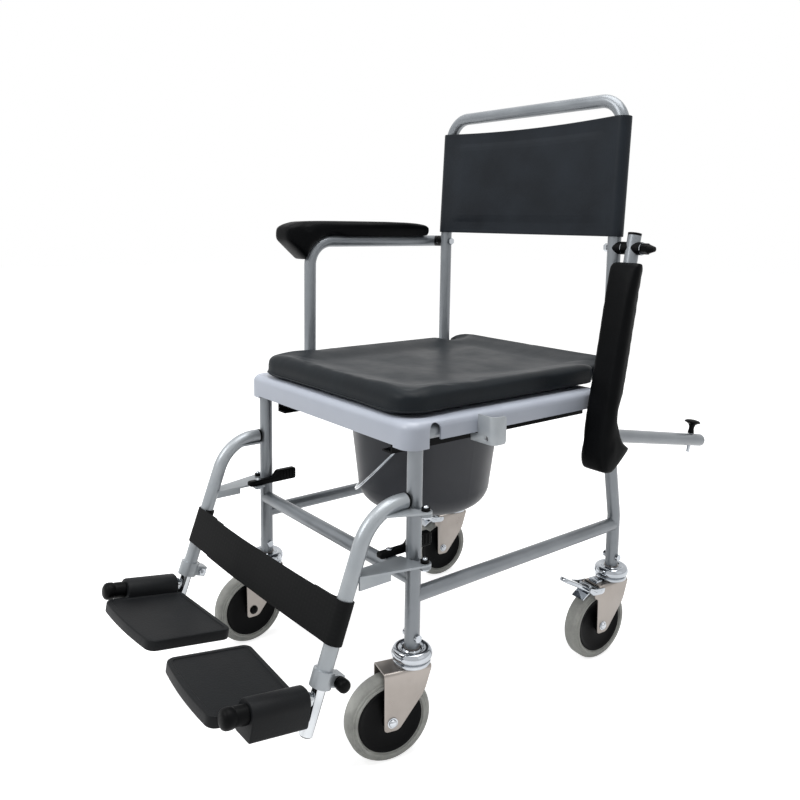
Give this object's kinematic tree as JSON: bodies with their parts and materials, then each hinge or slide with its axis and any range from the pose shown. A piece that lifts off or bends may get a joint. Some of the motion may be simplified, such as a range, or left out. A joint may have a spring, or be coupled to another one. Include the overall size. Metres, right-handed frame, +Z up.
{
  "type": "shower commode chair",
  "caption": "Wheeled shower commode chair: tube frame on braked castors, commode seat with slide-out pail and lift-off cushion, drop-down arms, swing-away leg rests with flip-up footplates.",
  "frame": {"origin": "centre of the bounding box, on the floor under the castors", "axes": "+Z up, the chair faces -Y, +X is the sitter's left"},
  "size_m": [0.571, 0.9626, 0.9708],
  "materials": {
    "frame_paint": "satin silver-grey",
    "hanger_paint": "satin light grey",
    "black_plastic": "fine grain",
    "padded_vinyl": "coated cloth with a soft sheen",
    "webbing": "woven",
    "bright_metal": "polished",
    "zinc": "satin zinc plate",
    "tread": "grey rubber",
    "seat_plastic": "satin pale blue-grey",
    "pail_plastic": "satin dark grey"
  },
  "bodies": {
    "frame": {"front_legs": "frame_paint", "back_frame": "frame_paint", "lower_side_rails": "frame_paint", "front_crossbar": "frame_paint", "seat_tubes": "frame_paint", "commode_seat": "seat_plastic", "pail_rails": "black_plastic", "arm_receivers": "hanger_paint", "hanger_lugs": "frame_paint", "hanger_pins": "bright_metal", "pin_bushes": "black_plastic", "back_sling": "padded_vinyl", "frame_bolts": "bright_metal", "arm_pivot_saddles": "black_plastic", "castor_stems": "zinc"},
    "castor_fl": {"fork_fl": "zinc", "race_fl": "bright_metal"},
    "wheel_fl": {"tyre_fl": "tread", "hub_fl": "black_plastic"},
    "castor_fr": {"fork_fr": "zinc", "race_fr": "bright_metal"},
    "wheel_fr": {"tyre_fr": "tread", "hub_fr": "black_plastic"},
    "castor_rl": {"fork_rl": "zinc", "race_rl": "bright_metal"},
    "wheel_rl": {"tyre_rl": "tread", "hub_rl": "black_plastic"},
    "brake_rl": {"brake_pedal_rl": "bright_metal"},
    "castor_rr": {"fork_rr": "zinc", "race_rr": "bright_metal"},
    "wheel_rr": {"tyre_rr": "tread", "hub_rr": "black_plastic"},
    "brake_rr": {"brake_pedal_rr": "bright_metal"},
    "left_arm": {"arm_tube_left": "frame_paint", "arm_pad_left": "padded_vinyl", "arm_trim_left": "black_plastic"},
    "left_pull_pin": {"pull_pin_left": "black_plastic"},
    "left_hanger": {"hanger_left": "hanger_paint", "hanger_cap_left": "black_plastic", "calf_strap_left": "webbing"},
    "left_latch": {"latch_lever_left": "black_plastic"},
    "left_clamp_knob": {"clamp_knob_left": "black_plastic"},
    "left_extension": {"extension_left": "bright_metal", "rod_cap_left": "black_plastic"},
    "left_footplate": {"footplate_left": "black_plastic"},
    "right_arm": {"arm_tube_right": "frame_paint", "arm_pad_right": "padded_vinyl", "arm_trim_right": "black_plastic"},
    "right_pull_pin": {"pull_pin_right": "black_plastic"},
    "right_hanger": {"hanger_right": "hanger_paint", "hanger_cap_right": "black_plastic", "calf_strap_right": "webbing"},
    "right_latch": {"latch_lever_right": "black_plastic"},
    "right_clamp_knob": {"clamp_knob_right": "black_plastic"},
    "right_extension": {"extension_right": "bright_metal", "rod_cap_right": "black_plastic"},
    "right_footplate": {"footplate_right": "black_plastic"},
    "pail_body": {"pail": "pail_plastic"},
    "bail_body": {"bail": "bright_metal"},
    "cushion": {"seat_cushion": "padded_vinyl"}
  },
  "joints": [
    {"name": "swivel_fl", "type": "hinge", "parent": "frame", "child": "castor_fl", "pos_m": [0.208, -0.18179, 0.145], "axis": [0, 0, 1], "continuous": true},
    {"name": "roll_fl", "type": "hinge", "parent": "castor_fl", "child": "wheel_fl", "pos_m": [0.19855, -0.21756, 0.0625], "axis": [0.9668, -0.2554, 0], "continuous": true},
    {"name": "swivel_fr", "type": "hinge", "parent": "frame", "child": "castor_fr", "pos_m": [-0.208, -0.18179, 0.145], "axis": [0, 0, 1], "continuous": true},
    {"name": "roll_fr", "type": "hinge", "parent": "castor_fr", "child": "wheel_fr", "pos_m": [-0.20949, -0.21876, 0.0625], "axis": [0.9992, -0.0401, 0], "continuous": true},
    {"name": "swivel_rl", "type": "hinge", "parent": "frame", "child": "castor_rl", "pos_m": [0.208, 0.27621, 0.145], "axis": [0, 0, 1], "continuous": true},
    {"name": "roll_rl", "type": "hinge", "parent": "castor_rl", "child": "wheel_rl", "pos_m": [0.20433, 0.2394, 0.0625], "axis": [0.9951, -0.0993, 0], "continuous": true},
    {"name": "brake_press_rl", "type": "hinge", "parent": "castor_rl", "child": "brake_rl", "pos_m": [0.20343, 0.23044, 0.1295], "axis": [0.9951, -0.0993, 0], "range_deg": [0, 8]},
    {"name": "swivel_rr", "type": "hinge", "parent": "frame", "child": "castor_rr", "pos_m": [-0.208, 0.27621, 0.145], "axis": [0, 0, 1], "continuous": true},
    {"name": "roll_rr", "type": "hinge", "parent": "castor_rr", "child": "wheel_rr", "pos_m": [-0.21283, 0.23953, 0.0625], "axis": [0.9914, -0.1305, 0], "continuous": true},
    {"name": "brake_press_rr", "type": "hinge", "parent": "castor_rr", "child": "brake_rr", "pos_m": [-0.214, 0.23061, 0.1295], "axis": [0.9914, -0.1305, 0], "range_deg": [0, 8]},
    {"name": "left_arm_drop", "type": "hinge", "parent": "frame", "child": "left_arm", "pos_m": [0.244, 0.24021, 0.718], "axis": [1, 0, 0], "range_deg": [-79.3, 0]},
    {"name": "left_pin_pull", "type": "slide", "parent": "left_arm", "child": "left_pull_pin", "axis": [0, 0.1857, 0.9826], "range_m": [0, 0.014]},
    {"name": "left_hanger_swing", "type": "hinge", "parent": "frame", "child": "left_hanger", "pos_m": [0.235, -0.18379, 0.33], "axis": [0, 0, 1], "range_deg": [0, 90]},
    {"name": "left_latch_release", "type": "hinge", "parent": "left_hanger", "child": "left_latch", "pos_m": [0.188, -0.20979, 0.297], "axis": [0, 0, 1], "range_deg": [0, 15], "stiffness_Nm_per_rad": 0.3, "springref_deg": -5.73},
    {"name": "left_clamp_turn", "type": "hinge", "parent": "left_hanger", "child": "left_clamp_knob", "pos_m": [0.208, -0.31357, 0.15721], "axis": [1, 0, 0], "range_deg": [0, 180]},
    {"name": "left_footrest_height", "type": "slide", "parent": "left_hanger", "child": "left_extension", "axis": [0, -0.342, -0.9397], "range_m": [0, 0.07]},
    {"name": "left_footplate_flip", "type": "hinge", "parent": "left_extension", "child": "left_footplate", "pos_m": [0.208, -0.34182, 0.141], "axis": [0, 0.9863, -0.165], "range_deg": [0, 95]},
    {"name": "right_arm_drop", "type": "hinge", "parent": "frame", "child": "right_arm", "pos_m": [-0.244, 0.24021, 0.718], "axis": [1, 0, 0], "range_deg": [0, 79.3]},
    {"name": "right_pin_pull", "type": "slide", "parent": "right_arm", "child": "right_pull_pin", "axis": [0, 1, 0], "range_m": [-0.014, 0]},
    {"name": "right_hanger_swing", "type": "hinge", "parent": "frame", "child": "right_hanger", "pos_m": [-0.235, -0.18379, 0.33], "axis": [0, 0, 1], "range_deg": [-90, 0]},
    {"name": "right_latch_release", "type": "hinge", "parent": "right_hanger", "child": "right_latch", "pos_m": [-0.188, -0.20979, 0.297], "axis": [0, 0, 1], "range_deg": [-15, 0], "stiffness_Nm_per_rad": 0.3, "springref_deg": 5.73},
    {"name": "right_clamp_turn", "type": "hinge", "parent": "right_hanger", "child": "right_clamp_knob", "pos_m": [-0.208, -0.31357, 0.15721], "axis": [1, 0, 0], "range_deg": [0, 180]},
    {"name": "right_footrest_height", "type": "slide", "parent": "right_hanger", "child": "right_extension", "axis": [0, -0.342, -0.9397], "range_m": [0, 0.07]},
    {"name": "right_footplate_flip", "type": "hinge", "parent": "right_extension", "child": "right_footplate", "pos_m": [-0.208, -0.34182, 0.141], "axis": [0, 0.9863, -0.165], "range_deg": [-95, 0]},
    {"name": "pail_slide", "type": "slide", "parent": "frame", "child": "pail_body", "axis": [0, 1, 0], "range_m": [0, 0.36]},
    {"name": "bail_swing", "type": "hinge", "parent": "pail_body", "child": "bail_body", "pos_m": [0, 0.01221, 0.4225], "axis": [0.6428, -0.766, 0], "range_deg": [-38, 2]},
    {"name": "cushion_lift", "type": "slide", "parent": "frame", "child": "cushion", "axis": [0, 0, 1], "range_m": [0, 0.15]}
  ]
}
